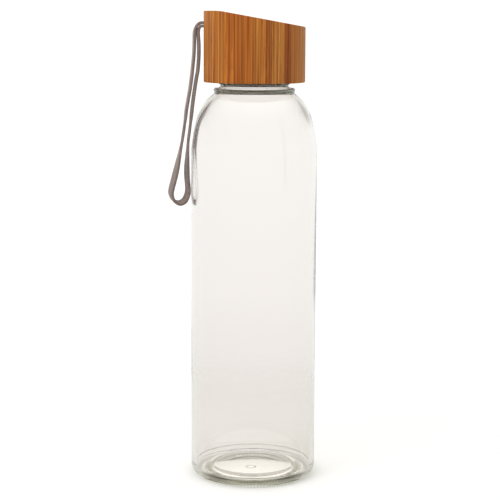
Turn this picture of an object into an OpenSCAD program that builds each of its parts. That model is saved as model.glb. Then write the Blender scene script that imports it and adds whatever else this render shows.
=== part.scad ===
// Glass water bottle with a screw-on bamboo lid and a flat strap loop.
// +Z is up. The origin is the centre of the bottle's foot, on the table. The strap hangs on the -X side.

/* [Bottle] */
// Outside diameter of the glass body
body_d = 65; // [62:0.5:68]
// Thickness of the glass wall
wall_t = 2.3; // [1.8:0.1:2.8]
// Radius of the rounded heel
heel_r = 5.5; // [4:0.5:6]
// Thickness of the glass at the middle of the bottom
bottom_t = 2.4; // [2:0.2:4]
// Height where the straight wall ends and the shoulder starts
shoulder_z = 172; // [160:1:176]

/* [Neck] */
// Height of the lip above the table
lip_z = 223; // [221:0.5:223]
// Outside diameter of the neck at the root of the thread
neck_d = 35; // [34:0.5:36]
// Diameter of the mouth
mouth_d = 29.6; // [28:0.2:30.4]
// Rise of the thread in one turn
thread_lead = 4; // [3.5:0.5:5]
// How far the thread stands out of the neck
thread_h = 1.3; // [1:0.1:1.4]

/* [Lid] */
// Outside diameter of the bamboo cap
cap_d = 52; // [50:0.5:54]
// Height of the cap's lower edge above the table
cap_z = 206; // [205:0.5:207]
// Height of the cap on the strap side
cap_h = 36; // [35:0.5:38]
// Slope of the cap's top, in degrees
top_slope = 10.2; // [6:0.2:12]
// Width of the level land above the strap hole
land_w = 8; // [4:0.5:10]
// Outside diameter of the plastic insert
insert_d = 43; // [42:0.5:44]
// Play between the two threads, in radius
thread_play = 0.35; // [0.25:0.05:0.4]

/* [Strap] */
// Width of the flat strap
strap_w = 4.5; // [4:0.1:5]
// Thickness of the flat strap
strap_t = 1.5; // [1.2:0.1:1.6]
// Diameter of the strap hole in the cap
strap_hole_d = 5.6; // [5.6:0.1:6.4]

/* [Hidden] */
$fn = 96;

body_r = body_d / 2;
foot_r = body_r - heel_r;
neck_r = neck_d / 2;
mouth_r = mouth_d / 2;
cap_r = cap_d / 2;
insert_r = insert_d / 2;

// Shoulder: how far its curve is pulled up and in, low down and near the bead
shoulder_low_up = 16.5;
shoulder_low_in = 1.9;
shoulder_high_up = 22.6;
shoulder_high_in = 3.9;
shoulder_end_in = 0.2;
shoulder_end_drop = 0.5;
shoulder_steps = 14;

// Foot: a flat bearing ring around a stepped push-up
foot_ring_w = 2.5;
foot_step_w = 1;
foot_step_drop = 0.6;
push_up_r = 20.5;
push_up_z = 1.8;
push_up_h = 2.2;
push_up_steps = 6;
floor_flat_r = 21;
floor_flat_drop = 0.6;
floor_edge_z = 3;
floor_corner_r = 2.7;
floor_steps = 8;
corner_steps = 8;

// Transfer bead above the shoulder, and a small support ring just under the lid
bead_r = 21;
bead_z = 200.9;
bead_round = 1.2;
bead_flat = 0.2;
bead_top_z = 203.6;
bead_turn = 60;
bore_start_z = 203.2;
ring_r = 18.8;
ring_low_z = 204.7;
ring_round = 1.5;
ring_top_z = 206.8;
ring_turn = 80;
lip_round = 0.8;
edge_steps = 4;

// Thread ridges: one on the neck, one in the insert
ridge_base_w = 1.6;
ridge_crest_w = 0.8;
ridge_root = 0.5;
ridge_steps = 24;
ridge_turns = 1.25;
ridge_fade = 3;
ridge_fade_start = 0.6;
neck_ridge_z = 211.5;
insert_bore_r = neck_r + thread_h + thread_play;
insert_ridge_r = neck_r + thread_play;

// Insert and seal
seal_t = 1.6;
seal_play = 0.3;
seal_overhang = 0.4;
insert_inset = 0.6;
insert_roof_t = 1.4;
insert_low_z = cap_z + insert_inset;
insert_roof_z = lip_z + seal_t;
insert_top_z = insert_roof_z + insert_roof_t;

// Cap: knot chamber and strap hole
cap_edge = 0.4;
hole_drop = 6.8;
cap_top_z = cap_z + cap_h;
hole_z = cap_top_z - hole_drop;
chamber_x = -11.5;
chamber_r = 7.5;
chamber_top_z = 237;
land_blend = 3;
land_steps = 6;
cut_over = 1;

// Strap knot and tails
knot_x = -15.5;
knot_z = 231.2;
knot_ring_r = 3;
knot_cord_r = 2.2;
tail_gap = 0.2;
tail_stand_out = 0.6;
tail_end_x = -cap_r - tail_stand_out;

// Middle line of the loop: out of the hole, down, round the end and back up to the hole
loop_route = [
    [-28.3, 0, 235.6], [-29.4, 0, 234.6], [-30.2, 0, 233], [-30.7, 0, 230.6], [-30.8, 0, 225.4],
    [-31.1, 0, 219.2], [-31.8, 0, 212], [-32.4, 0, 207], [-33.1, 0, 202], [-34, 0, 197],
    [-34.9, 0, 191.8], [-35.5, 0, 186.6], [-36.2, 0, 181.4], [-37, 0, 176.2], [-38, -0.4, 171],
    [-39, -0.8, 166], [-40.1, -1.2, 160.8], [-41.4, -1.5, 155.5], [-42.7, -1.4, 150.4],
    [-42.7, -1, 147.4], [-41.4, 0, 144.7], [-38.8, 1.2, 143.3], [-36.2, 2.3, 144.4],
    [-34.6, 2.8, 147.6], [-34.3, 2.9, 151], [-34.7, 2.4, 156], [-34.8, 1.8, 161],
    [-34.6, 1.1, 166], [-34.3, 0.5, 171], [-33.9, 0.2, 176.2], [-33.2, 0, 181.4],
    [-32.6, 0, 186.6], [-31.4, 0, 196.8], [-29.9, 0, 207], [-29, 0, 212], [-28.5, 0, 219.2],
    [-28.5, 0, 225.4], [-28.8, 0, 230], [-28.7, 0, 232.3], [-27.8, 0, 233.9]
];
loop_sides = 8;

// Turn of the strap about its length: a little up high, none in the middle, and more round the end
high_twist = 10;
high_twist_z = [234.3, 232, 190, 182];
end_twist = 30;
end_twist_z = [178, 157];
end_tilt = 0.7;

function reversed(list) = [for (i = [len(list) - 1:-1:0]) list[i]];

// Points of an arc around [cx, cz], from angle a0 to a1
function arc(cx, cz, r, a0, a1, n) = [
    for (i = [0:n]) [cx + r * cos(a0 + (a1 - a0) * i / n), cz + r * sin(a0 + (a1 - a0) * i / n)]
];

// Points of a smooth cubic curve from a to d, pulled towards b and c
function smooth_curve(a, b, c, d, n) = [
    for (i = [0:n])
        let (t = i / n, s = 1 - t)
        s * s * s * a + 3 * s * s * t * b + 3 * s * t * t * c + t * t * t * d
];

// The shoulder, from the body up to a point near the bead; the inside is set in by the wall
function shoulder(inset, last) = smooth_curve(
    [body_r - inset, shoulder_z],
    [body_r - shoulder_low_in - inset, shoulder_z + shoulder_low_up],
    [body_r - shoulder_high_in - inset, shoulder_z + shoulder_high_up - inset],
    last,
    shoulder_steps
);

// The foot's underside, from the axis out to the table
function foot_outline() = concat(
    [
        for (i = [0:push_up_steps])
            let (t = i / push_up_steps)
            [push_up_r * t, push_up_z + push_up_h * (1 - t * t)]
    ],
    [
        [foot_r - foot_ring_w - foot_step_w, push_up_z - foot_step_drop],
        [foot_r - foot_ring_w, 0]
    ]
);

// The floor inside: nearly flat over the push-up, then down to a groove and the rounded corner
function floor_outline() =
    let (
        corner_x = body_r - wall_t - floor_corner_r,
        middle_z = push_up_z + push_up_h + bottom_t,
        flat_z = middle_z - floor_flat_drop
    )
    concat(
        [
            for (i = [0:floor_steps])
                let (t = i / floor_steps)
                [floor_flat_r * t, middle_z - floor_flat_drop * t * t]
        ],
        [
            for (i = [1:floor_steps - 1])
                let (t = i / floor_steps, fall = t * t * (3 - 2 * t))
                [floor_flat_r + (corner_x - floor_flat_r) * t, flat_z + (floor_edge_z - flat_z) * fall]
        ],
        arc(corner_x, floor_edge_z + floor_corner_r, floor_corner_r, -90, 0, corner_steps)
    );

function bottle_outline() = concat(
    foot_outline(),
    arc(foot_r, heel_r, heel_r, -90, 0, corner_steps),
    shoulder(0, [bead_r - shoulder_end_in, bead_z - shoulder_end_drop]),
    [[bead_r, bead_z + bead_flat]],
    arc(bead_r - bead_round, bead_z + bead_round, bead_round, 0, bead_turn, edge_steps),
    [[neck_r, bead_top_z], [neck_r, ring_low_z]],
    arc(ring_r - ring_round, ring_low_z + ring_round, ring_round, -ring_turn, 0, edge_steps),
    [[ring_r, ring_top_z], [neck_r, ring_top_z]],
    arc(neck_r - lip_round, lip_z - lip_round, lip_round, 0, 90, edge_steps),
    arc(mouth_r + lip_round, lip_z - lip_round, lip_round, 90, 180, edge_steps),
    reversed(shoulder(wall_t, [mouth_r, bore_start_z])),
    reversed(floor_outline())
);

// A helical ridge: four corners in each section, joined around the axis
module thread_ridge(base_r, crest_r, z) {
    n = ceil(ridge_turns * ridge_steps);
    corners = [
        [base_r, -ridge_base_w / 2], [crest_r, -ridge_crest_w / 2],
        [crest_r, ridge_crest_w / 2], [base_r, ridge_base_w / 2]
    ];
    points = [
        for (i = [0:n], c = corners)
            let (a = 360 * i / ridge_steps, steps_in = ridge_fade_start + min(i, n - i))
            let (r = base_r + (c[0] - base_r) * min(1, steps_in / ridge_fade))
            [r * cos(a), r * sin(a), z + c[1] + thread_lead * i / ridge_steps]
    ];
    sides = [
        for (i = [0:n - 1], k = [0:3])
            let (low = 4 * i, next = (k + 1) % 4)
            [low + k, low + 4 + k, low + 4 + next, low + next]
    ];
    ends = [[0, 1, 2, 3], [4 * n + 3, 4 * n + 2, 4 * n + 1, 4 * n]];
    faces = concat(sides, ends);
    polyhedron(points, crest_r < base_r ? faces : [for (f = faces) reversed(f)], convexity = 8);
}

// Blown glass body, shoulder, bead and threaded neck, in one piece
module glass_bottle() {
    color([0.86, 0.89, 0.86, 0.45]) {
        rotate_extrude() polygon(bottle_outline());
        thread_ridge(neck_r - ridge_root, neck_r + thread_h, neck_ridge_z);
    }
}

// Soft washer that the lip presses on
module seal_ring() {
    color([0.93, 0.93, 0.91])
    translate([0, 0, lip_z])
    difference() {
        cylinder(h = seal_t, r = insert_bore_r - seal_play);
        translate([0, 0, -cut_over]) cylinder(h = seal_t + 2 * cut_over, r = mouth_r - seal_overhang);
    }
}

// Plastic liner with the lid's thread, glued into the cap
module threaded_insert() {
    color([0.24, 0.22, 0.2]) {
        difference() {
            translate([0, 0, insert_low_z]) cylinder(h = insert_top_z - insert_low_z, r = insert_r);
            translate([0, 0, insert_low_z - cut_over])
                cylinder(h = insert_roof_z - insert_low_z + cut_over, r = insert_bore_r);
        }
        thread_ridge(insert_bore_r + ridge_root, insert_ridge_r, neck_ridge_z - thread_lead / 2);
    }
}

// Side view of the cap: level land on the strap side, then one straight slope
module cap_side() {
    reach = cap_r + cut_over;
    land_x = -cap_r + land_w;
    fall = tan(top_slope);
    slope = [
        for (i = [land_steps:-1:0])
            let (u = i / land_steps)
            [land_x + land_blend * (2 * u - 1), cap_top_z - land_blend * fall * u * u]
    ];
    low_side = cap_top_z - (reach - land_x) * fall;
    polygon(concat(
        [[-reach, cap_z - cut_over], [reach, cap_z - cut_over], [reach, low_side]],
        slope,
        [[-reach, cap_top_z]]
    ));
}

// Turned cap of laminated bamboo
module bamboo_cap() {
    color([0.65, 0.41, 0.19])
    difference() {
        intersection() {
            rotate_extrude() polygon([
                [0, cap_z], [cap_r - cap_edge, cap_z], [cap_r, cap_z + cap_edge],
                [cap_r, cap_top_z + cut_over], [0, cap_top_z + cut_over]
            ]);
            translate([0, cap_r + cut_over, 0])
                rotate([90, 0, 0]) linear_extrude(cap_d + 2 * cut_over) cap_side();
        }
        translate([0, 0, cap_z - cut_over]) cylinder(h = insert_top_z - cap_z + cut_over, r = insert_r);
        translate([chamber_x, 0, insert_top_z - cut_over])
            cylinder(h = chamber_top_z - insert_top_z + cut_over, r = chamber_r);
        translate([-cap_r - cut_over, 0, hole_z])
            rotate([0, 90, 0]) cylinder(h = cap_r + cut_over + chamber_x, d = strap_hole_d);
    }
}

// The tied ends of the strap, too big to pull back through the hole
module strap_knot() {
    color([0.55, 0.5, 0.47])
    translate([knot_x, 0, knot_z])
    rotate([0, 90, 0])
    rotate_extrude() translate([knot_ring_r, 0]) circle(r = knot_cord_r, $fn = 48);
}

// The two ends of the strap, one on the other, through the hole
module strap_tails() {
    color([0.6, 0.56, 0.54])
    for (side = [-1, 1])
        translate([tail_end_x, -strap_w / 2, hole_z - strap_t / 2 + side * (strap_t + tail_gap) / 2])
            cube([knot_x - tail_end_x, strap_w, strap_t]);
}

// Goes smoothly from 0 at a to 1 at b
function ease(x, a, b) = let (t = min(1, max(0, (x - a) / (b - a)))) t * t * (3 - 2 * t);

// How far the strap has turned about its length at a height
function twist_at(z) =
    high_twist * ease(z, high_twist_z[0], high_twist_z[1]) * ease(z, high_twist_z[3], high_twist_z[2])
    + end_twist * ease(z, end_twist_z[0], end_twist_z[1]);

function unit(v) = v / norm(v);

// Direction of the route at point i
function heading(route, i) = unit(route[min(len(route) - 1, i + 1)] - route[max(0, i - 1)]);

// One section of the flat strap, square to the route
function strap_section(route, i) =
    let (
        ahead = heading(route, i),
        turn = twist_at(route[i][2]),
        tilt = end_tilt * ease(route[i][2], end_twist_z[0], end_twist_z[1]),
        across = [-sin(turn), cos(turn), tilt * sin(turn)],
        wide = unit(across - (across * ahead) * ahead),
        thick = cross(ahead, wide)
    )
    [
        for (k = [0:loop_sides - 1])
            let (a = 360 * (k + 0.5) / loop_sides, reach = cos(180 / loop_sides))
            route[i] + wide * strap_w / 2 * cos(a) / reach + thick * strap_t / 2 * sin(a) / reach
    ];

// Loop of strap that hangs beside the bottle
module strap_loop() {
    rings = len(loop_route);
    points = [for (i = [0:rings - 1], p = strap_section(loop_route, i)) p];
    sides = [
        for (i = [0:rings - 2], k = [0:loop_sides - 1])
            let (a = loop_sides * i, next = (k + 1) % loop_sides)
            [a + k, a + loop_sides + k, a + loop_sides + next, a + next]
    ];
    start_end = [for (k = [0:loop_sides - 1]) k];
    far_end = [for (k = [loop_sides - 1:-1:0]) loop_sides * (rings - 1) + k];
    color([0.6, 0.56, 0.54])
    polyhedron(points, concat(sides, [start_end, far_end]), convexity = 8);
}

glass_bottle();
seal_ring();
threaded_insert();
bamboo_cap();
strap_knot();
strap_tails();
strap_loop();
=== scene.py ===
"""Looks of a glass water bottle with a bamboo screw lid and a flat strap loop. Lengths are in metres."""

import math

import bpy
import numpy as np
from mathutils import Matrix, Vector


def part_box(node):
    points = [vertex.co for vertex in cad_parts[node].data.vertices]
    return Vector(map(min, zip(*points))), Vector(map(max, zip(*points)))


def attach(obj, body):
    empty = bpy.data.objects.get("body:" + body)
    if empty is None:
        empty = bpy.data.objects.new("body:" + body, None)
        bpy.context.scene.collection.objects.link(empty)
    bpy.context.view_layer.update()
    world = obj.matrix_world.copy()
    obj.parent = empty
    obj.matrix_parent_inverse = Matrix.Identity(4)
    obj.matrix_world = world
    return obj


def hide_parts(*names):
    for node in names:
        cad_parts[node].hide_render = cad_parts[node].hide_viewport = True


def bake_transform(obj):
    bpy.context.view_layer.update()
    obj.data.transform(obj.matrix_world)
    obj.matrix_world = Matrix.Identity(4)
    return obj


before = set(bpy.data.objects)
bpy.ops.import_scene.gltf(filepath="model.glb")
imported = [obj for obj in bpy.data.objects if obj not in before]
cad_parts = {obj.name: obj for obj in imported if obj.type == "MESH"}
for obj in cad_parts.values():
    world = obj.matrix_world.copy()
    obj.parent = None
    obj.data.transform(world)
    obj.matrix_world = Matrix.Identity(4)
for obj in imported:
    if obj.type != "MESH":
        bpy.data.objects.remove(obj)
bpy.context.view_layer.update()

MM = 0.001

# ---------------------------------------------------------------- sizes from the frame
bottle_low, bottle_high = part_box("glass_bottle")
cap_low, cap_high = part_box("bamboo_cap")
insert_low, insert_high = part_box("threaded_insert")
seal_low, seal_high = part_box("seal_ring")

BODY_R = bottle_high[0]
LIP_Z = bottle_high[2]
CAP_R = cap_high[0]
CAP_LOW_Z = cap_low[2]
CAP_TOP_Z = cap_high[2]
INSERT_R = insert_high[0]
INSERT_LOW_Z = insert_low[2]
INSERT_TOP_Z = insert_high[2]
SEAL_R = seal_high[0]
SEAL_LOW_Z = seal_low[2]
SEAL_TOP_Z = seal_high[2]

# ---------------------------------------------------------------- sizes repeated from the CAD source
WALL = 2.3 * MM
HEEL_R = 5.5 * MM
SHOULDER_Z = 172 * MM
FLOOR_MIDDLE_Z = 6.4 * MM
FLOOR_FLAT_R = 21 * MM
FLOOR_FLAT_Z = 5.8 * MM
FLOOR_EDGE_Z = 3 * MM
FLOOR_CORNER_R = 2.7 * MM
FOOT_RING_W = 2.5 * MM
SHOULDER_LOW_PULL = (1.9 * MM, 16.5 * MM)
SHOULDER_HIGH_PULL = (3.9 * MM, 22.6 * MM)
SHOULDER_END_IN = 0.2 * MM
SHOULDER_END_DROP = 0.5 * MM
FOOT_EDGE = 0.3 * MM
PUSH_UP_R = 20.5 * MM
PUSH_UP_Z = 1.8 * MM
PUSH_UP_H = 2.2 * MM
BEAD_R = 21 * MM
BEAD_Z = 200.9 * MM
BEAD_ROUND = 1.2 * MM
BORE_START_Z = 203.2 * MM
BEAD_TOP_Z = 203.6 * MM
RING_R = 18.8 * MM
RING_LOW_Z = 204.7 * MM
RING_TOP_Z = 206.8 * MM
RING_ROUND = 1.5 * MM
RING_EDGE = 0.3 * MM
LIP_ROUND = 0.8 * MM
NECK_R = 17.5 * MM
MOUTH_R = 14.8 * MM
THREAD_LEAD = 4 * MM
THREAD_H = 1.3 * MM
THREAD_TURNS = 1.25
THREAD_PLAY = 0.35 * MM
THREAD_FADE_TURNS = 0.12
NECK_THREAD_Z = 211.5 * MM
TOP_SLOPE = math.tan(math.radians(10.2))
LAND_W = 8 * MM
LAND_BLEND = 3 * MM
CAP_EDGE = 0.5 * MM
CAP_TOP_EDGE = 0.4 * MM
HOLE_Z = CAP_TOP_Z - 6.8 * MM
HOLE_R = 2.8 * MM
CHAMBER_X = -11.5 * MM
CHAMBER_R = 7.5 * MM
CHAMBER_TOP_Z = 237 * MM
KNOT_X = -15.5 * MM
KNOT_Z = 231.2 * MM
STRAP_W = 4.5 * MM
STRAP_T = 1.5 * MM
TAIL_GAP = 0.2 * MM

# Middle line of the strap loop, in millimetres: out of the hole, down, round the end and back up
LOOP_ROUTE = [
    (-28.3, 0, 235.6), (-29.4, 0, 234.6), (-30.2, 0, 233), (-30.7, 0, 230.6), (-30.8, 0, 225.4),
    (-31.1, 0, 219.2), (-31.8, 0, 212), (-32.4, 0, 207), (-33.1, 0, 202), (-34, 0, 197),
    (-34.9, 0, 191.8), (-35.5, 0, 186.6), (-36.2, 0, 181.4), (-37, 0, 176.2), (-38, -0.4, 171),
    (-39, -0.8, 166), (-40.1, -1.2, 160.8), (-41.4, -1.5, 155.5), (-42.7, -1.4, 150.4),
    (-42.7, -1, 147.4), (-41.4, 0, 144.7), (-38.8, 1.2, 143.3), (-36.2, 2.3, 144.4),
    (-34.6, 2.8, 147.6), (-34.3, 2.9, 151), (-34.7, 2.4, 156), (-34.8, 1.8, 161),
    (-34.6, 1.1, 166), (-34.3, 0.5, 171), (-33.9, 0.2, 176.2), (-33.2, 0, 181.4),
    (-32.6, 0, 186.6), (-31.4, 0, 196.8), (-29.9, 0, 207), (-29, 0, 212), (-28.5, 0, 219.2),
    (-28.5, 0, 225.4), (-28.8, 0, 230), (-28.7, 0, 232.3), (-27.8, 0, 233.9),
]
HIGH_TWIST = math.radians(10)
HIGH_TWIST_Z = (234.3 * MM, 232 * MM, 190 * MM, 182 * MM)
END_TWIST = math.radians(30)
END_TWIST_Z = (178 * MM, 157 * MM)
END_TILT = 0.7

# ---------------------------------------------------------------- camera
CAMERA_DISTANCE = 776.4 * MM
CAMERA_HEIGHT = 236.6 * MM
CAMERA_SIDE = -1.9 * MM
CAMERA_PITCH = math.radians(8.615)
CAMERA_ROLL = math.radians(0.235)
CAMERA_LENS = 108.5


def make_camera():
    """A long lens, almost level with the lid and looking slightly down."""
    data = bpy.data.cameras.new("camera")
    data.lens = CAMERA_LENS
    data.clip_end = 100
    camera = bpy.data.objects.new("camera", data)
    bpy.context.collection.objects.link(camera)
    camera.location = (CAMERA_SIDE, -CAMERA_DISTANCE, CAMERA_HEIGHT)
    look = Matrix.Rotation(math.pi / 2 - CAMERA_PITCH, 4, "X") @ Matrix.Rotation(CAMERA_ROLL, 4, "Z")
    camera.rotation_euler = look.to_euler()
    bpy.context.scene.camera = camera


# ---------------------------------------------------------------- mesh helpers
def smoothstep(t):
    t = np.clip(t, 0, 1)
    return t * t * (3 - 2 * t)


def ease(x, start, end):
    """Goes smoothly from 0 at start to 1 at end."""
    return smoothstep((x - start) / (end - start))


def arc(cx, cz, r, start, end, steps):
    """Points of an arc in an outline, with angles in degrees."""
    angles = np.radians(np.linspace(start, end, steps + 1))
    return [(cx + r * math.cos(a), cz + r * math.sin(a)) for a in angles]


def line(a, b, steps):
    """Points from a to b, both included."""
    return [(a[0] + (b[0] - a[0]) * t, a[1] + (b[1] - a[1]) * t) for t in np.linspace(0, 1, steps + 1)]


def smooth_curve(a, b, c, d, steps):
    """Points of a cubic curve from a to d, pulled towards b and c."""
    a, b, c, d = map(np.array, (a, b, c, d))
    t = np.linspace(0, 1, steps + 1)[:, None]
    s = 1 - t
    points = s**3 * a + 3 * s * s * t * b + 3 * s * t * t * c + t**3 * d
    return [tuple(p) for p in points]


def mesh_piece(name, vertices, faces, material, sharp_angle=40):
    """A mesh object with smooth faces and sharp edges above an angle."""
    mesh = bpy.data.meshes.new(name)
    mesh.from_pydata([tuple(v) for v in vertices], [], faces)
    mesh.polygons.foreach_set("use_smooth", [True] * len(mesh.polygons))
    mesh.set_sharp_from_angle(angle=math.radians(sharp_angle))
    mesh.materials.append(material)
    mesh.validate()
    piece = bpy.data.objects.new(name, mesh)
    bpy.context.collection.objects.link(piece)
    return piece


def ring_faces(rings, segments, closed_rows=False):
    """Quads between neighbouring rings of a grid; closed_rows joins the last ring to the first."""
    faces = []
    for i in range(rings if closed_rows else rings - 1):
        low, high = i * segments, ((i + 1) % rings) * segments
        for k in range(segments):
            k2 = (k + 1) % segments
            faces.append((low + k, low + k2, high + k2, high + k))
    return faces


def revolve(name, outline, segments, material, shape=None, sharp_angle=40):
    """Turns an outline of (radius, height) points round the Z axis into a closed piece.

    An outline that starts and ends on the axis is capped there; any other outline is a closed ring.
    shape(radius, height, angle) may move the points, and gets and returns grids.
    """
    outline = np.array(outline)
    capped = outline[0, 0] == 0 and outline[-1, 0] == 0
    body = outline[1:-1] if capped else outline
    angle = np.linspace(0, 2 * math.pi, segments, endpoint=False)[None, :]
    radius = np.repeat(body[:, :1], segments, axis=1)
    height = np.repeat(body[:, 1:], segments, axis=1)
    if shape:
        radius, height = shape(radius, height, angle)
    vertices = np.stack([radius * np.cos(angle), radius * np.sin(angle), height], axis=-1).reshape(-1, 3)
    faces = ring_faces(len(body), segments, closed_rows=not capped)
    if capped:
        first, last = len(vertices), len(vertices) + 1
        vertices = np.vstack([vertices, [[0, 0, outline[0, 1]], [0, 0, outline[-1, 1]]]])
        top = (len(body) - 1) * segments
        faces += [(first, (k + 1) % segments, k) for k in range(segments)]
        faces += [(last, top + k, top + (k + 1) % segments) for k in range(segments)]
    return mesh_piece(name, vertices, faces, material, sharp_angle)


def thread_height(height, angle, start_z):
    """How much of a helical ridge is present at each point, from 0 to 1."""
    made = np.zeros(np.broadcast(height, angle).shape)
    flank, crest = 0.8 * MM, 0.4 * MM
    for turn in range(math.ceil(THREAD_TURNS)):
        along = angle / (2 * math.pi) + turn
        middle = start_z + THREAD_LEAD * along
        ridge = smoothstep((flank - np.abs(height - middle)) / (flank - crest))
        left = THREAD_TURNS - along
        fade = smoothstep(along / THREAD_FADE_TURNS) * smoothstep(left / THREAD_FADE_TURNS)
        made = np.maximum(made, ridge * fade)
    return made


# ---------------------------------------------------------------- material helpers
def new_material(name):
    """An empty node material, its tree and its Principled shader."""
    material = bpy.data.materials.new(name)
    material.use_nodes = True
    tree = material.node_tree
    return material, tree, tree.nodes["Principled BSDF"]


def node(tree, kind, inputs=None, **settings):
    """A node with its settings; an input is a value or the socket that feeds it."""
    made = tree.nodes.new(kind)
    for key, value in settings.items():
        setattr(made, key, value)
    for key, value in (inputs or {}).items():
        if isinstance(value, bpy.types.NodeSocket):
            tree.links.new(value, made.inputs[key])
        else:
            made.inputs[key].default_value = value
    return made


def feed(tree, shader, **sockets):
    """Links sockets to the inputs of a shader, with _ for a space in a name."""
    for key, value in sockets.items():
        tree.links.new(value, shader.inputs[key.replace("_", " ")])


def srgb(red, green, blue):
    """A linear colour from 0 to 255 display values."""
    return tuple(
        (c / 255 / 12.92 if c <= 10 else ((c / 255 + 0.055) / 1.055) ** 2.4) for c in (red, green, blue)
    ) + (1,)


def millimetres(tree, scale=(1, 1, 1), rotation=(0, 0, 0)):
    """The piece's own coordinates in millimetres, stretched by scale."""
    coordinates = node(tree, "ShaderNodeTexCoord").outputs["Object"]
    return node(
        tree, "ShaderNodeMapping",
        {"Vector": coordinates, "Scale": tuple(s / MM for s in scale), "Rotation": rotation},
    ).outputs["Vector"]


def ramp(tree, value, stops):
    """A colour ramp through (position, colour) stops, in rising order."""
    made = node(tree, "ShaderNodeValToRGB", {"Fac": value})
    elements = made.color_ramp.elements
    for element, (position, colour) in zip((elements[0], elements[1]), (stops[0], stops[-1])):
        element.position, element.color = position, colour
    for position, colour in stops[1:-1]:
        elements.new(position).color = colour
    return made.outputs["Color"]


def mixed(tree, factor, a, b, blend="MIX"):
    """Two colours mixed; each is a colour or a socket."""
    made = node(tree, "ShaderNodeMix", data_type="RGBA", blend_type=blend)
    for key, value in ((0, factor), (6, a), (7, b)):
        if isinstance(value, bpy.types.NodeSocket):
            tree.links.new(value, made.inputs[key])
        else:
            made.inputs[key].default_value = value
    return made.outputs[2]


def bump(tree, height, distance):
    """A normal that follows a height from 0 to 1, distance high."""
    inputs = {"Height": height, "Distance": distance, "Strength": 1}
    return node(tree, "ShaderNodeBump", inputs).outputs["Normal"]


def noise(tree, scale, detail=2, rotation=(0, 0, 0), **more):
    """Noise in the piece's own millimetres, stretched by scale."""
    inputs = {"Vector": millimetres(tree, scale, rotation), "Scale": 1, "Detail": detail, **more}
    return node(tree, "ShaderNodeTexNoise", inputs).outputs["Fac"]


def map_range(tree, value, start=0, end=1, low=0, high=1, **settings):
    """A value carried from start and end to low and high, and held there."""
    inputs = {"Value": value, "From Min": start, "From Max": end, "To Min": low, "To Max": high}
    return node(tree, "ShaderNodeMapRange", inputs, **settings).outputs["Result"]


def combined(tree, operation, a, b):
    """Two numbers combined; each is a number or a socket."""
    return node(tree, "ShaderNodeMath", {0: a, 1: b}, operation=operation).outputs[0]


def distance_from_middle(tree, place):
    return node(tree, "ShaderNodeVectorMath", {0: place}, operation="LENGTH").outputs["Value"]


# ---------------------------------------------------------------- materials
GLASS_TINT = (1, 0.98, 0.972, 1)
GLASS_FLOW_H = 0.08 * MM
GLASS_DEPTH_TINT = (0.63, 0.65, 0.47, 1)
GLASS_DEPTH_DENSITY = 24.0
# Soft light that crosses thin glass, and the thick rounded heel
THIN_PASSES = (0.975, 0.975, 0.965, 1)
HEEL_PASSES = (0.72, 0.72, 0.69, 1)
HEEL_FADE_Z = (4 * MM, 7 * MM)
HEEL_FADE_R = (25 * MM, 22 * MM)


def glass_material():
    """Clear soda glass: faint flow marks, a warm tint, olive where it's thick, and light shadows."""
    material, tree, shader = new_material("clear_glass")
    shader.inputs["Base Color"].default_value = GLASS_TINT
    shader.inputs["Roughness"].default_value = 0
    shader.inputs["IOR"].default_value = 1.5
    shader.inputs["Transmission Weight"].default_value = 1
    flow = noise(tree, (1, 1, 0.25), Scale=0.06)
    feed(tree, shader, Normal=bump(tree, flow, GLASS_FLOW_H))
    # Light crosses walls and floor almost freely, but the heel's thick rounded glass throws it aside
    place = node(tree, "ShaderNodeTexCoord").outputs["Object"]
    parts = node(tree, "ShaderNodeSeparateXYZ", {"Vector": place}).outputs
    flat = node(tree, "ShaderNodeCombineXYZ", {"X": parts["X"], "Y": parts["Y"]}).outputs[0]
    over_heel = map_range(tree, parts["Z"], *HEEL_FADE_Z)
    inside_heel = map_range(tree, distance_from_middle(tree, flat), *HEEL_FADE_R)
    thin = combined(tree, "MAXIMUM", over_heel, inside_heel)
    passed = ramp(tree, thin, [(0, HEEL_PASSES), (1, THIN_PASSES)])
    clear = node(tree, "ShaderNodeBsdfTransparent", {"Color": passed}).outputs["BSDF"]
    rays = node(tree, "ShaderNodeLightPath").outputs
    soft_rays = combined(tree, "MAXIMUM", rays["Is Shadow Ray"], rays["Is Diffuse Ray"])
    surface = node(tree, "ShaderNodeMixShader", {0: soft_rays, 1: shader.outputs["BSDF"], 2: clear})
    depth = node(
        tree, "ShaderNodeVolumeAbsorption", {"Color": GLASS_DEPTH_TINT, "Density": GLASS_DEPTH_DENSITY})
    output = tree.nodes["Material Output"]
    tree.links.new(surface.outputs[0], output.inputs["Surface"])
    tree.links.new(depth.outputs["Volume"], output.inputs["Volume"])
    return material


# The lid's glued layers stand a little askew, and this many of them fill a millimetre
LAYER_TURN = (0, 0, math.radians(8))
LAYERS_PER_MM = 0.26


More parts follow.
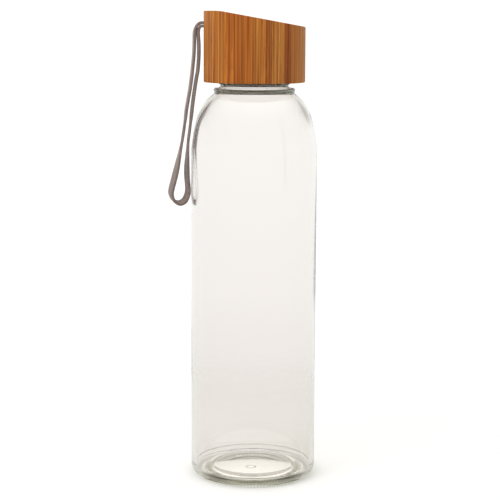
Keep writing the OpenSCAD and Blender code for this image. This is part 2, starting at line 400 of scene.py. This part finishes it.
def bamboo_material():
    """Laminated bamboo: glued layers of uneven width, long fibres, flame figure and darker nodes."""
    material, tree, shader = new_material("bamboo")

    def grain(scale, detail, **more):
        return noise(tree, scale, detail, LAYER_TURN, **more)

    def layer(feature, output):
        place = millimetres(tree, (LAYERS_PER_MM, 0.012, 0.0006), LAYER_TURN)
        across = node(tree, "ShaderNodeSeparateXYZ", {"Vector": place}).outputs["X"]
        return node(
            tree, "ShaderNodeTexVoronoi", {"W": across, "Scale": 1, "Randomness": 0.9},
            voronoi_dimensions="1D", feature=feature,
        ).outputs[output]

    tone = node(tree, "ShaderNodeSeparateColor", {"Color": layer("F1", "Color")})
    base = ramp(tree, tone.outputs[0], [
        (0.0, srgb(142, 70, 12)), (0.25, srgb(160, 92, 26)), (0.6, srgb(168, 106, 40)),
        (1.0, srgb(178, 120, 56)),
    ])
    broad = ramp(tree, grain((0.55, 0.3, 0.010), 3, Distortion=0.5), [
        (0.32, srgb(134, 64, 8)), (0.5, srgb(164, 98, 32)), (0.7, srgb(184, 128, 60)),
    ])
    colour = mixed(tree, 0.45, base, broad)
    flame = ramp(tree, grain((0.75, 0.75, 0.055), 2, Distortion=1.6), [
        (0.38, (0.80, 0.74, 0.62, 1)), (0.52, (1, 1, 1, 1)), (0.62, (1.1, 1.1, 1.08, 1)),
    ])
    figured = map_range(tree, tone.outputs[1], 0.35, 0.6)
    colour = mixed(tree, figured, colour, mixed(tree, 0.8, colour, flame, "MULTIPLY"))
    fibres = grain((2.6, 2.6, 0.02), 3, Roughness=0.65)
    fine = ramp(tree, fibres, [
        (0.36, (0.70, 0.62, 0.50, 1)), (0.5, (0.97, 0.96, 0.94, 1)), (0.64, (1.18, 1.16, 1.12, 1)),
    ])
    colour = mixed(tree, 0.9, colour, fine, "MULTIPLY")
    streaks = ramp(tree, grain((1.0, 1.0, 0.009), 2, Roughness=0.6), [
        (0.38, (0.58, 0.47, 0.33, 1)), (0.46, (0.92, 0.88, 0.82, 1)), (0.52, (1.02, 1.02, 1.02, 1)),
        (0.60, (1.22, 1.26, 1.3, 1)),
    ])
    colour = mixed(tree, 0.9, colour, streaks, "MULTIPLY")
    bundles = node(
        tree, "ShaderNodeTexVoronoi",
        {"Vector": millimetres(tree, (1.15, 1.15, 0.012), LAYER_TURN), "Scale": 1, "Randomness": 0.9},
    ).outputs["Distance"]
    pores = ramp(tree, bundles, [(0.05, (0.6, 0.5, 0.36, 1)), (0.3, (1, 1, 1, 1))])
    colour = mixed(tree, 0.45, colour, pores, "MULTIPLY")
    glue_line = ramp(tree, layer("DISTANCE_TO_EDGE", "Distance"), [
        (0.0, (0.55, 0.42, 0.28, 1)), (0.05, (1, 1, 1, 1)),
    ])
    colour = mixed(tree, 0.55, colour, glue_line, "MULTIPLY")
    rough = map_range(tree, fibres, low=0.66, high=0.5)
    feed(tree, shader, Base_Color=colour, Roughness=rough, Normal=bump(tree, fibres, 0.06 * MM))
    shader.inputs["Specular IOR Level"].default_value = 0.25
    return material


def strap_material():
    """Smooth grey strap with fine lengthwise drag marks and a soft sheen."""
    material, tree, shader = new_material("strap_band")
    streaks = noise(tree, (2.5, 2.5, 0.12), 4, Roughness=0.6)
    pebble = node(
        tree, "ShaderNodeTexVoronoi", {"Vector": millimetres(tree, (5, 5, 5)), "Scale": 1}
    ).outputs["Distance"]
    colour = ramp(tree, streaks, [(0.3, srgb(98, 84, 78)), (0.7, srgb(140, 123, 116))])
    rough = map_range(tree, streaks, low=0.5, high=0.38)
    feed(tree, shader, Base_Color=colour, Roughness=rough, Normal=bump(tree, pebble, 0.04 * MM))
    shader.inputs["Sheen Weight"].default_value = 0.15
    return material


def liner_material():
    """Dark grey moulded plastic with faint flow variation."""
    material, tree, shader = new_material("liner_plastic")
    flow = noise(tree, (0.3, 0.3, 0.3), 3)
    colour = ramp(tree, flow, [(0.3, srgb(58, 53, 48)), (0.7, srgb(72, 66, 60))])
    grain = noise(tree, (6, 6, 6))
    rough = map_range(tree, flow, low=0.4, high=0.5)
    feed(tree, shader, Base_Color=colour, Roughness=rough, Normal=bump(tree, grain, 0.02 * MM))
    return material


def silicone_material():
    """Milky silicone with a dusty surface."""
    material, tree, shader = new_material("silicone")
    dust = noise(tree, (1.5, 1.5, 1.5), 4)
    colour = ramp(tree, dust, [(0.35, srgb(222, 222, 216)), (0.7, srgb(240, 240, 236))])
    rough = map_range(tree, dust, low=0.5, high=0.65)
    feed(tree, shader, Base_Color=colour, Roughness=rough, Normal=bump(tree, dust, 0.03 * MM))
    shader.inputs["Subsurface Weight"].default_value = 0.2
    shader.inputs["Subsurface Scale"].default_value = 1 * MM
    return material


# ---------------------------------------------------------------- strap
def spline(points, steps):
    """A smooth curve through the points, with its twist carried along as any other value."""
    points = np.array(points, float)
    padded = np.vstack([2 * points[0] - points[1], points, 2 * points[-1] - points[-2]])
    made = []
    for i in range(len(points) - 1):
        p0, p1, p2, p3 = padded[i:i + 4]
        for t in np.linspace(0, 1, steps, endpoint=False):
            made.append(0.5 * (
                2 * p1 + (p2 - p0) * t + (2 * p0 - 5 * p1 + 4 * p2 - p3) * t**2
                + (3 * p1 - p0 - 3 * p2 + p3) * t**3
            ))
    made.append(points[-1])
    return np.array(made)


def band_section():
    """Half-width and half-thickness factors round a flat band with rounded edges."""
    corner = 0.32
    section = []
    for quarter, (sx, sy) in enumerate([(1, 1), (-1, 1), (-1, -1), (1, -1)]):
        for step in range(5):
            a = math.radians(90 * quarter + 22.5 * step)
            x = sx * (STRAP_W / 2 - corner * STRAP_T) + corner * STRAP_T * math.cos(a)
            y = sy * (STRAP_T / 2 - corner * STRAP_T) + corner * STRAP_T * math.sin(a)
            section.append((x, y))
    return np.array(section)


def sweep_band(name, path, across, material):
    """Sweeps the flat band along a path; across is the band's width direction at each point."""
    ahead = np.gradient(path, axis=0)
    ahead /= np.linalg.norm(ahead, axis=1)[:, None]
    wide = across - (across * ahead).sum(axis=1)[:, None] * ahead
    wide /= np.linalg.norm(wide, axis=1)[:, None]
    thick = np.cross(ahead, wide)
    section = band_section()
    count = len(section)
    vertices = (
        path[:, None, :] + wide[:, None, :] * section[None, :, :1] + thick[:, None, :] * section[None, :, 1:]
    ).reshape(-1, 3)
    faces = ring_faces(len(path), count)
    last = (len(path) - 1) * count
    faces.append(tuple(range(count))[::-1])
    faces.append(tuple(last + k for k in range(count)))
    faces = [f[::-1] for f in faces]
    return mesh_piece(name, vertices, faces, material, sharp_angle=60)


def make_strap(material):
    """One strap: a tail through the hole, the hanging loop, and the other tail back in."""
    tail = STRAP_T / 2 + TAIL_GAP / 2
    exit_x = -CAP_R - 0.6 * MM
    upper = [(KNOT_X, 0, HOLE_Z + tail), (-21 * MM, 0, HOLE_Z + tail), (exit_x, 0, HOLE_Z + tail)]
    lower = [(exit_x, 0, HOLE_Z - tail), (-21 * MM, 0, HOLE_Z - tail), (KNOT_X, 0, HOLE_Z - tail)]
    loop = [tuple(c * MM for c in point) for point in LOOP_ROUTE]
    path = spline(upper + loop + lower, 6)
    height = path[:, 2]
    high_start, high_full, high_fade, high_end = HIGH_TWIST_Z
    turn = HIGH_TWIST * ease(height, high_start, high_full) * ease(height, high_end, high_fade)
    turn = turn + END_TWIST * ease(height, *END_TWIST_Z)
    tilt = END_TILT * ease(height, *END_TWIST_Z)
    across = np.stack([-np.sin(turn), np.cos(turn), tilt * np.sin(turn)], axis=1)
    strap = sweep_band("strap", path, across, material)
    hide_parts("strap_loop", "strap_tails")
    # The bend is over within 5 mm of the hole, both outwards and down
    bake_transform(strap)
    length = float(np.linalg.norm(np.diff(path, axis=0), axis=1).sum())
    return strap, path, length


def make_knot(material):
    """The tied ends inside the lid: one overhand turn of the band, pulled into a lump."""
    t = np.linspace(0, 2 * math.pi, 97)[:-1]
    ring, tube = 2.3 * MM, 1.2 * MM
    radius = ring + tube * np.cos(3 * t)
    path = np.stack([
        KNOT_X + tube * np.sin(3 * t), radius * np.cos(2 * t), KNOT_Z + radius * np.sin(2 * t)
    ], axis=1)
    cord_r, wider, flatter = 1.35 * MM, 1.15, 0.8
    ahead = np.roll(path, -1, axis=0) - np.roll(path, 1, axis=0)
    ahead /= np.linalg.norm(ahead, axis=1)[:, None]
    out = path - np.array([KNOT_X, 0, KNOT_Z])
    side = np.cross(ahead, out)
    side /= np.linalg.norm(side, axis=1)[:, None]
    up = np.cross(side, ahead)
    sides = 16
    a = np.linspace(0, 2 * math.pi, sides, endpoint=False)
    vertices = (
        path[:, None, :]
        + cord_r * wider * np.cos(a)[None, :, None] * side[:, None, :]
        + cord_r * flatter * np.sin(a)[None, :, None] * up[:, None, :]
    ).reshape(-1, 3)
    knot = mesh_piece("strap_knot_tied", vertices, ring_faces(len(path), sides, True), material, 60)
    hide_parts("strap_knot")
    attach(knot, "lid")
    return knot


# ---------------------------------------------------------------- glass bottle
GLASS_SEGMENTS = 432
KNURLS = 108
KNURL_DEPTH = 0.8 * MM
KNURL_TOP_Z = 3.2 * MM
# A fine line round the bottle, just over the heel, where the mould's halves met
SEAM_Z = HEEL_R + 0.4 * MM
SEAM_HALF_H = 0.3 * MM
SEAM_PULL = 0.45 * MM
# Plain marks under the base: a row of dots, and a small ring
DOT_TURNS = [math.radians(50 + 10 * k) for k in range(9)]
DOT_ROW_R = 12.5 * MM
DOT_R = 0.9 * MM
RING_MARK_X = -1 * MM
RING_MARK_Y = -9 * MM
RING_MARK_R = 2.2 * MM
RING_MARK_HALF_W = 0.7 * MM
MARK_H = 0.35 * MM
# The inside wall wanders in and out by these
UNEVEN_WIDE = 0.05 * MM
UNEVEN_FINE = 0.03 * MM


def shoulder(inset, last, steps):
    """The shoulder's outline from the body up to a point near the bead; inset moves it in."""
    low_in, low_up = SHOULDER_LOW_PULL
    high_in, high_up = SHOULDER_HIGH_PULL
    return smooth_curve(
        (BODY_R - inset, SHOULDER_Z), (BODY_R - low_in - inset, SHOULDER_Z + low_up),
        (BODY_R - high_in - inset, SHOULDER_Z + high_up - inset), last, steps)


def foot_outline():
    """The push-up, the bearing ring and the heel, up to the mould seam."""
    foot_r = BODY_R - HEEL_R
    ring_in = foot_r - FOOT_RING_W
    outline = [(PUSH_UP_R * t, PUSH_UP_Z + PUSH_UP_H * (1 - t * t)) for t in np.linspace(0, 1, 60)[:-1]]
    outline += smooth_curve(
        (PUSH_UP_R, PUSH_UP_Z), (PUSH_UP_R + 0.3 * MM, PUSH_UP_Z - 0.9 * MM),
        (PUSH_UP_R + 1.4 * MM, PUSH_UP_Z - 0.5 * MM), (ring_in - 1 * MM, PUSH_UP_Z - 0.6 * MM), 8)
    outline += arc(ring_in + FOOT_EDGE, FOOT_EDGE, FOOT_EDGE, 180, 270, 3)
    outline += line((ring_in + 0.7 * MM, 0), (foot_r - 0.4 * MM, 0), 5)
    outline += arc(foot_r, HEEL_R, HEEL_R, -90, 0, 18)
    return outline


def wall_outline():
    """The mould seam, the straight wall and the shoulder; short steps beside a bend keep its shading true."""
    outline = smooth_curve(
        (BODY_R, SEAM_Z - SEAM_HALF_H), (BODY_R - SEAM_PULL, SEAM_Z - SEAM_HALF_H / 3),
        (BODY_R - SEAM_PULL, SEAM_Z + SEAM_HALF_H / 3), (BODY_R, SEAM_Z + SEAM_HALF_H), 8)
    outline += [(BODY_R, HEEL_R + 0.8 * MM), (BODY_R, HEEL_R + 1.2 * MM)]
    outline += line((BODY_R, 20 * MM), (BODY_R, SHOULDER_Z - 20 * MM), 12)
    outline += [(BODY_R, SHOULDER_Z - 1 * MM)]
    outline += shoulder(0, (BEAD_R - SHOULDER_END_IN, BEAD_Z - SHOULDER_END_DROP), 40)
    return outline


def neck_outline():
    """The transfer bead, the support ring, the neck that carries the thread, and the lip."""
    outline = [(BEAD_R - 0.35 * MM, BEAD_Z - 0.25 * MM), (BEAD_R - 0.2 * MM, BEAD_Z)]
    outline += arc(BEAD_R - BEAD_ROUND, BEAD_Z + BEAD_ROUND, BEAD_ROUND, -35, 70, 14)
    outline += smooth_curve(
        (BEAD_R - BEAD_ROUND, BEAD_Z + 2 * BEAD_ROUND), (NECK_R + 1 * MM, BEAD_TOP_Z - 0.2 * MM),
        (NECK_R, BEAD_TOP_Z), (NECK_R, RING_LOW_Z - 0.4 * MM), 14)
    outline += arc(RING_R - RING_ROUND, RING_LOW_Z + RING_ROUND, RING_ROUND, -80, 0, 14)
    outline += arc(RING_R - RING_EDGE, RING_TOP_Z - RING_EDGE, RING_EDGE, 20, 90, 4)
    outline += line((NECK_R, RING_TOP_Z + 0.4 * MM), (NECK_R, LIP_Z - 1.2 * MM), 76)
    outline += arc(NECK_R - LIP_ROUND, LIP_Z - LIP_ROUND, LIP_ROUND, 0, 90, 6)
    outline += arc(MOUTH_R + LIP_ROUND, LIP_Z - LIP_ROUND, LIP_ROUND, 90, 180, 6)
    return outline


def inside_outline():
    """Down the bore, the inner shoulder and the inner wall, and over the floor to the axis."""
    inner_r = BODY_R - WALL
    corner_top = FLOOR_EDGE_Z + FLOOR_CORNER_R
    corner_r = inner_r - FLOOR_CORNER_R
    inner_shoulder = shoulder(WALL, (MOUTH_R, BORE_START_Z), 44)[::-1]
    # The shoulder's first steps give way to a rounder bend out of the bore
    bend = 3
    outline = line((MOUTH_R, LIP_Z - 2 * MM), (MOUTH_R, BORE_START_Z + 3 * MM), 6)
    outline += smooth_curve(
        (MOUTH_R, BORE_START_Z + 2 * MM), (MOUTH_R, BORE_START_Z + 0.6 * MM),
        (MOUTH_R + 0.3 * MM, BORE_START_Z), inner_shoulder[bend], 8)
    outline += inner_shoulder[bend + 1:]
    outline += [(inner_r, SHOULDER_Z - 1 * MM)]
    outline += line((inner_r, SHOULDER_Z - 20 * MM), (inner_r, 20 * MM), 12)
    outline += [(inner_r, corner_top + 1 * MM), (inner_r, corner_top + 0.3 * MM)]
    outline += arc(corner_r, corner_top, FLOOR_CORNER_R, 0, -90, 20)
    outline += [
        (FLOOR_FLAT_R + (corner_r - FLOOR_FLAT_R) * t,
         FLOOR_FLAT_Z + (FLOOR_EDGE_Z - FLOOR_FLAT_Z) * float(smoothstep(t)))
        for t in np.linspace(1, 0, 20)[1:-1]
    ]
    outline += [
        (FLOOR_FLAT_R * t, FLOOR_MIDDLE_Z - (FLOOR_MIDDLE_Z - FLOOR_FLAT_Z) * t * t)
        for t in np.linspace(1, 0, 20)
    ]
    return outline


def knurled(radius, height, angle, outside):
    """Small teeth all round the bearing ring."""
    ring_in = BODY_R - HEEL_R - FOOT_RING_W
    wave = 0.5 + 0.5 * np.cos(KNURLS * angle)
    on_ring = smoothstep((radius - ring_in + 0.2 * MM) / (0.5 * MM))
    on_ring = on_ring * smoothstep((KNURL_TOP_Z - height) / (0.5 * MM)) * outside
    height = height + KNURL_DEPTH * wave * on_ring * (radius < BODY_R)
    radius = radius - 0.6 * KNURL_DEPTH * wave * on_ring * smoothstep(height / (0.8 * MM))
    return radius, height


def base_marks(radius, angle):
    """How much of a mark stands at each point under the base, from 0 to 1."""
    x, y = radius * np.cos(angle), radius * np.sin(angle)
    marks = np.zeros(x.shape)
    for turn in DOT_TURNS:
        near = np.hypot(x - DOT_ROW_R * math.cos(turn), y - DOT_ROW_R * math.sin(turn))
        marks = np.maximum(marks, smoothstep(1 - near / DOT_R))
    from_ring = np.abs(np.hypot(x - RING_MARK_X, y - RING_MARK_Y) - RING_MARK_R)
    return np.maximum(marks, smoothstep(1 - from_ring / RING_MARK_HALF_W))


def shape_glass(radius, height, angle):
    """Knurls on the foot ring, plain mould marks on the push-up, the thread, and an uneven inside."""
    outside = np.zeros(len(radius), bool)
    outside[:int(np.argmax(height[:, 0]))] = True
    outside = outside[:, None]
    radius, height = knurled(radius, height, angle, outside)
    neck = smoothstep((height - RING_TOP_Z - 0.8 * MM) / (0.4 * MM)) * outside * (radius > NECK_R - 0.1 * MM)
    radius = radius + THREAD_H * neck * thread_height(height, angle, NECK_THREAD_Z)
    inside = ~outside & (height < BEAD_Z) & (height > FLOOR_EDGE_Z + FLOOR_CORNER_R)
    uneven = UNEVEN_WIDE * np.sin(2 * angle + 0.7 + height * 18)
    uneven = uneven + UNEVEN_FINE * np.sin(3 * angle - height * 31)
    fade = smoothstep((BEAD_Z - height) / (12 * MM)) * smoothstep((height - 14 * MM) / (20 * MM))
    radius = radius + uneven * fade * inside
    under = outside & (height < PUSH_UP_Z + PUSH_UP_H + 0.1 * MM) & (radius < PUSH_UP_R - 1 * MM)
    return radius, height - MARK_H * base_marks(radius, angle) * under


def make_bottle(material):
    """One glass body: from the middle of the foot out, up the outside, over the lip and down the inside."""
    outline = foot_outline() + wall_outline() + neck_outline() + inside_outline()
    bottle = revolve("bottle_glass", outline, GLASS_SEGMENTS, material, shape_glass, sharp_angle=80)
    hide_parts("glass_bottle")
    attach(bottle, "bottle")


# ---------------------------------------------------------------- lid
LID_SEGMENTS = 256
# The strap hole opens out towards the cap's side, and each cutter reaches past the surface it cuts
FLARE_W = 0.9 * MM
FLARE_DEPTH = 1.2 * MM
CUT_PAST = 1 * MM
RIBS = 64
RIB_DEPTH = 0.15 * MM


def cap_top(x):
    """Height of the cap's top at x: a level land, a short blend, then the slope."""
    land_x = -CAP_R + LAND_W
    u = np.clip((x - land_x + LAND_BLEND) / (2 * LAND_BLEND), 0, 1)
    blend_drop = LAND_BLEND * TOP_SLOPE * u * u
    past = np.maximum(x - land_x - LAND_BLEND, 0)
    return CAP_TOP_Z - blend_drop - past * TOP_SLOPE


def cylinder_mesh(low_r, high_r, length, steps=96):
    """A closed cone or cylinder along +Z from the origin."""
    a = np.linspace(0, 2 * math.pi, steps, endpoint=False)
    ring = np.stack([np.cos(a), np.sin(a)], axis=1)
    low = np.column_stack([ring * low_r, np.zeros(steps)])
    high = np.column_stack([ring * high_r, np.full(steps, length)])
    vertices = np.vstack([low, high])
    faces = [(k, (k + 1) % steps, steps + (k + 1) % steps, steps + k) for k in range(steps)]
    faces += [tuple(range(steps))[::-1], tuple(range(steps, 2 * steps))]
    mesh = bpy.data.meshes.new("cutter")
    mesh.from_pydata([tuple(v) for v in vertices], [], faces)
    return mesh


def cut(piece, mesh, matrix):
    """Subtracts a closed mesh from a piece and applies the result."""
    cutter = bpy.data.objects.new("cutter", mesh)
    bpy.context.collection.objects.link(cutter)
    cutter.matrix_world = matrix
    modifier = piece.modifiers.new("cut", "BOOLEAN")
    modifier.operation, modifier.solver, modifier.object = "DIFFERENCE", "EXACT", cutter
    bpy.context.view_layer.update()
    evaluated = piece.evaluated_get(bpy.context.evaluated_depsgraph_get())
    result = bpy.data.meshes.new_from_object(evaluated)
    piece.modifiers.clear()
    piece.data = result
    bpy.data.objects.remove(cutter)


def make_cap(material):
    """Turned bamboo cap with a broken edge, the liner's bore, the knot chamber and the strap hole."""
    outline = [(0, INSERT_TOP_Z), (INSERT_R, INSERT_TOP_Z), (INSERT_R, CAP_LOW_Z + 0.3 * MM)]
    outline += [(INSERT_R + 0.3 * MM, CAP_LOW_Z)]
    outline += arc(CAP_R - CAP_EDGE, CAP_LOW_Z + CAP_EDGE, CAP_EDGE, -90, 0, 4)
    outline += line((CAP_R, CAP_LOW_Z + 2 * MM), (CAP_R, CAP_LOW_Z + 20 * MM), 12)
    lower_count = len(outline)
    outline += arc(CAP_R - CAP_TOP_EDGE, CAP_TOP_Z - CAP_TOP_EDGE, CAP_TOP_EDGE, 0, 90, 4)
    outline += [((CAP_R - CAP_TOP_EDGE) * t, CAP_TOP_Z) for t in np.linspace(1, 0, 40)[1:]]

    def slant(radius, height, angle):
        upper = np.zeros(radius.shape, bool)
        upper[lower_count - 1:] = True
        top = cap_top(radius * np.cos(angle)) - CAP_TOP_Z
        return radius, np.where(upper, height + top, height)

    cap = revolve("cap_bamboo", outline, LID_SEGMENTS, material, slant)
    cap.data.vertices[-1].co.z = cap_top(0.0)
    chamber_low = INSERT_TOP_Z - CUT_PAST
    cut(cap, cylinder_mesh(CHAMBER_R, CHAMBER_R, CHAMBER_TOP_Z - chamber_low),
        Matrix.Translation((CHAMBER_X, 0, chamber_low)))
    sideways = Matrix.Rotation(math.pi / 2, 4, "Y")
    cut(cap, cylinder_mesh(HOLE_R, HOLE_R, CAP_R + CUT_PAST + CHAMBER_X),
        Matrix.Translation((-CAP_R - CUT_PAST, 0, HOLE_Z)) @ sideways)
    cut(cap, cylinder_mesh(HOLE_R + FLARE_W, HOLE_R + FLARE_W - FLARE_DEPTH, FLARE_DEPTH),
        Matrix.Translation((-CAP_R - 0.5 * MM, 0, HOLE_Z)) @ sideways)
    cap.data.polygons.foreach_set("use_smooth", [True] * len(cap.data.polygons))
    cap.data.set_sharp_from_angle(angle=math.radians(35))
    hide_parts("bamboo_cap")
    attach(cap, "lid")


def make_insert(material):
    """Threaded liner with a rounded rim and fine outside ribs that hold the glue."""
    bore = NECK_R + THREAD_H + THREAD_PLAY
    roof = SEAL_TOP_Z
    outline = [(0, roof), (bore - 1 * MM, roof)]
    outline += arc(bore - 0.3 * MM, roof - 0.3 * MM, 0.3 * MM, 90, 0, 3)
    outline += line((bore, roof - 1 * MM), (bore, INSERT_LOW_Z + 1 * MM), 80)
    outline += arc(bore + 0.4 * MM, INSERT_LOW_Z + 0.4 * MM, 0.4 * MM, 180, 270, 3)
    outline += arc(INSERT_R - 0.3 * MM, INSERT_LOW_Z + 0.3 * MM, 0.3 * MM, -90, 0, 3)
    outline += line((INSERT_R, INSERT_LOW_Z + 1 * MM), (INSERT_R, INSERT_TOP_Z - 0.8 * MM), 8)
    outline += arc(INSERT_R - 0.3 * MM, INSERT_TOP_Z - 0.3 * MM, 0.3 * MM, 0, 90, 3)
    outline += [(0, INSERT_TOP_Z)]

    def shape(radius, height, angle):
        in_bore = np.abs(radius - bore) < 0.01 * MM
        ridge = thread_height(height, angle, NECK_THREAD_Z - THREAD_LEAD / 2)
        radius = radius - THREAD_H * in_bore * ridge
        on_skirt = smoothstep((height - INSERT_LOW_Z - 0.6 * MM) / MM) * (radius > INSERT_R - 0.01 * MM)
        return radius - RIB_DEPTH * on_skirt * (0.5 + 0.5 * np.cos(RIBS * angle)), height

    insert = revolve("insert_liner", outline, LID_SEGMENTS, material, shape)
    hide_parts("threaded_insert")
    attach(insert, "lid")


def make_seal(material):
    """Soft washer with rounded edges and a raised bead where it meets the lip."""
    inner_r = MOUTH_R - 0.4 * MM
    low, high, soft = SEAL_LOW_Z, SEAL_TOP_Z, 0.35 * MM
    outline = arc(inner_r + soft, low + soft, soft, 180, 270, 4)
    outline += arc(SEAL_R - soft, low + soft, soft, -90, 0, 4)
    outline += arc(SEAL_R - soft, high - soft, soft, 0, 90, 4)
    outline += line((SEAL_R - 1.4 * MM, high), (SEAL_R - 1.6 * MM, high - 0.2 * MM), 2)
    outline += line((inner_r + 1.6 * MM, high - 0.2 * MM), (inner_r + 1.4 * MM, high), 2)
    outline += arc(inner_r + soft, high - soft, soft, 90, 180, 4)
    seal = revolve("seal_washer", outline, LID_SEGMENTS, material)
    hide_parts("seal_ring")
    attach(seal, "seal")


# ---------------------------------------------------------------- studio
# The floor fades out between these distances from the middle
FLOOR_FADE_R = (0.12, 0.30)
FLOOR_SEEN = (0.9, 0.9, 0.9, 1)
# The floor as other things see it, painted a shade darker than the camera sees it, and a painted contact
# shadow in a ring in front of the foot, by radius and by depth
FLOOR_REFLECTED = (0.72, 0.72, 0.71, 1)
FLOOR_PAINTED_SHADOW = (0.12, 0.11, 0.08, 1)
FLOOR_PAINTED_SHADOW_R = (24 * MM, 27 * MM, 33 * MM, 42 * MM)
FLOOR_PAINTED_SHADOW_Y = (-12 * MM, -22 * MM)
# A painted pool of light: the floor glows under the push-up in place of light the bottle gathers there, and
# where it fades out
UNDER_GLOW = 0.45
UNDER_GLOW_R = (29 * MM, 26 * MM)
# Brightness of the surroundings from straight down (0) over level (0.5) to straight up (1)
FRONT_TONES = (
    (0.0, 0.7), (0.36, 0.7), (0.40, 0.75), (0.46, 0.9), (0.52, 0.95), (0.8, 1.2), (1.0, 1.8),
)
BACK_TONES = (
    (0.0, 0.86), (0.37, 0.86), (0.41, 0.97), (0.45, 1.0), (0.56, 1.0), (0.64, 0.5), (0.8, 0.5),
    (0.9, 1.6), (1.0, 1.8),
)
# Where the front gives way to the back, on the same scale from front (0) to back (1)
SIDE_SPAN = (0.5, 0.97)
WORLD_GLOW = 0.8
BACKDROP_GLOW = 1.1
BLACK = (0, 0, 0, 1)
WHITE = (1, 1, 1, 1)


def make_floor():
    """A round, pale floor that fades into the white surroundings.

    The camera sees one pale colour. Every other ray, such as one through the glass, finds it painted darker,
    with a painted contact shadow in front of the foot. Under the push-up it glows a little, a painted pool of
    light.
    """
    material, tree, shader = new_material("floor")
    shader.inputs["Roughness"].default_value = 0.9
    shader.inputs["Specular IOR Level"].default_value = 0.1
    shader.inputs["Emission Color"].default_value = WHITE
    place = node(tree, "ShaderNodeTexCoord").outputs["Object"]
    radius = distance_from_middle(tree, place)
    depth = node(tree, "ShaderNodeSeparateXYZ", {"Vector": place}).outputs["Y"]
    # A colour ramp runs from 0 to 1, so the radius is counted in parts of this length
    ramp_r = 100 * MM
    # Painted contact shadow: a dark ring of floor in front of the foot, seen only by rays other than the
    # camera's
    start, full, fade, end = (r / ramp_r for r in FLOOR_PAINTED_SHADOW_R)
    on_ring = ramp(
        tree, combined(tree, "MULTIPLY", radius, 1 / ramp_r),
        [(start, BLACK), (full, WHITE), (fade, WHITE), (end, BLACK)])
    in_front = map_range(tree, depth, *FLOOR_PAINTED_SHADOW_Y)
    dark = combined(tree, "MULTIPLY", in_front, on_ring)
    # Painted shade: rays other than the camera's see the floor darker, and darkest in the painted shadow ring
    reflected = mixed(tree, dark, FLOOR_REFLECTED, FLOOR_PAINTED_SHADOW)
    by_camera = node(tree, "ShaderNodeLightPath").outputs["Is Camera Ray"]
    # Painted pool of light: emission on the floor under the push-up
    glow = map_range(tree, radius, *UNDER_GLOW_R, high=UNDER_GLOW)
    feed(tree, shader, Base_Color=mixed(tree, by_camera, reflected, FLOOR_SEEN), Emission_Strength=glow)
    material.cycles.emission_sampling = "NONE"
    faded = map_range(tree, radius, *FLOOR_FADE_R, interpolation_type="SMOOTHSTEP")
    clear = node(tree, "ShaderNodeBsdfTransparent").outputs["BSDF"]
    surface = node(tree, "ShaderNodeMixShader", {0: faded, 1: shader.outputs["BSDF"], 2: clear})
    tree.links.new(surface.outputs[0], tree.nodes["Material Output"].inputs["Surface"])
    sides = 96
    rim = FLOOR_FADE_R[1] * 1.05
    turn = np.linspace(0, 2 * math.pi, sides, endpoint=False)
    corners = [(rim * math.cos(a), rim * math.sin(a), 0) for a in turn]
    floor = mesh_piece("floor", corners, [tuple(range(sides))], material)
    floor.location.z = -0.02 * MM


def warm_tone(value):
    """A brightness as a colour, a little warmer the darker it is."""
    light = min(value, 1)
    return (value, value * (0.93 + 0.07 * light), value * (0.84 + 0.16 * light), 1)


def make_world():
    """White surroundings; what the glass mirrors and bends has its own tones by height, front and back."""
    world = bpy.data.worlds.new("studio")
    bpy.context.scene.world = world
    world.use_nodes = True
    tree = world.node_tree
    direction = node(tree, "ShaderNodeTexCoord").outputs["Generated"]
    parts = node(tree, "ShaderNodeSeparateXYZ", {"Vector": direction}).outputs
    # From in front of the bottle (-Y) round either side to straight behind it (+Y), and from down to up
    facing = map_range(tree, parts["Y"], -1, 1)
    rising = map_range(tree, parts["Z"], -1, 1)
    front = ramp(tree, rising, [(at, warm_tone(tone)) for at, tone in FRONT_TONES])
    behind = ramp(tree, rising, [(at, warm_tone(tone)) for at, tone in BACK_TONES])
    share = ramp(tree, facing, [(SIDE_SPAN[0], BLACK), (SIDE_SPAN[1], WHITE)])
    rays = node(tree, "ShaderNodeLightPath").outputs
    by_glass = combined(tree, "MAXIMUM", rays["Is Glossy Ray"], rays["Is Transmission Ray"])
    soft = mixed(tree, rays["Is Camera Ray"], warm_tone(WORLD_GLOW), warm_tone(BACKDROP_GLOW))
    colour = mixed(tree, by_glass, soft, mixed(tree, share, front, behind))
    tree.links.new(colour, tree.nodes["Background"].inputs["Color"])


def area_light(name, place, aim, size, power):
    """A square soft light at place, turned towards aim, that neither the camera nor the glass sees."""
    data = bpy.data.lights.new(name, "AREA")
    data.shape = "SQUARE"
    data.size, data.energy = size, power
    light = bpy.data.objects.new(name, data)
    bpy.context.collection.objects.link(light)
    light.location = place
    light.rotation_euler = (Vector(aim) - Vector(place)).to_track_quat("-Z", "Y").to_euler()
    light.visible_camera = False
    light.visible_glossy = False
    light.visible_transmission = False


def make_lights():
    """A large key light from the front left and a soft light overhead."""
    area_light("key_left", place=(-0.7, -0.7, 0.8), aim=(0, 0, 0.15), size=0.5, power=7)
    area_light("top", place=(0, 0.1, 1.2), aim=(0, 0, 0), size=0.9, power=3)


def set_render():
    """Plain display colours, and enough bounces for light to get through the glass and back."""
    scene = bpy.context.scene
    scene.view_settings.view_transform = "Standard"
    scene.cycles.use_denoising = True
    scene.cycles.max_bounces = 24
    scene.cycles.glossy_bounces = 20
    scene.cycles.transmission_bounces = 20
    scene.cycles.transparent_max_bounces = 20


# ---------------------------------------------------------------- the scene
make_camera()
band = strap_material()
strap, strap_path, strap_length = make_strap(band)
knot = make_knot(band)
make_bottle(glass_material())
make_cap(bamboo_material())
make_insert(liner_material())
make_seal(silicone_material())
make_floor()
make_world()
make_lights()
set_render()
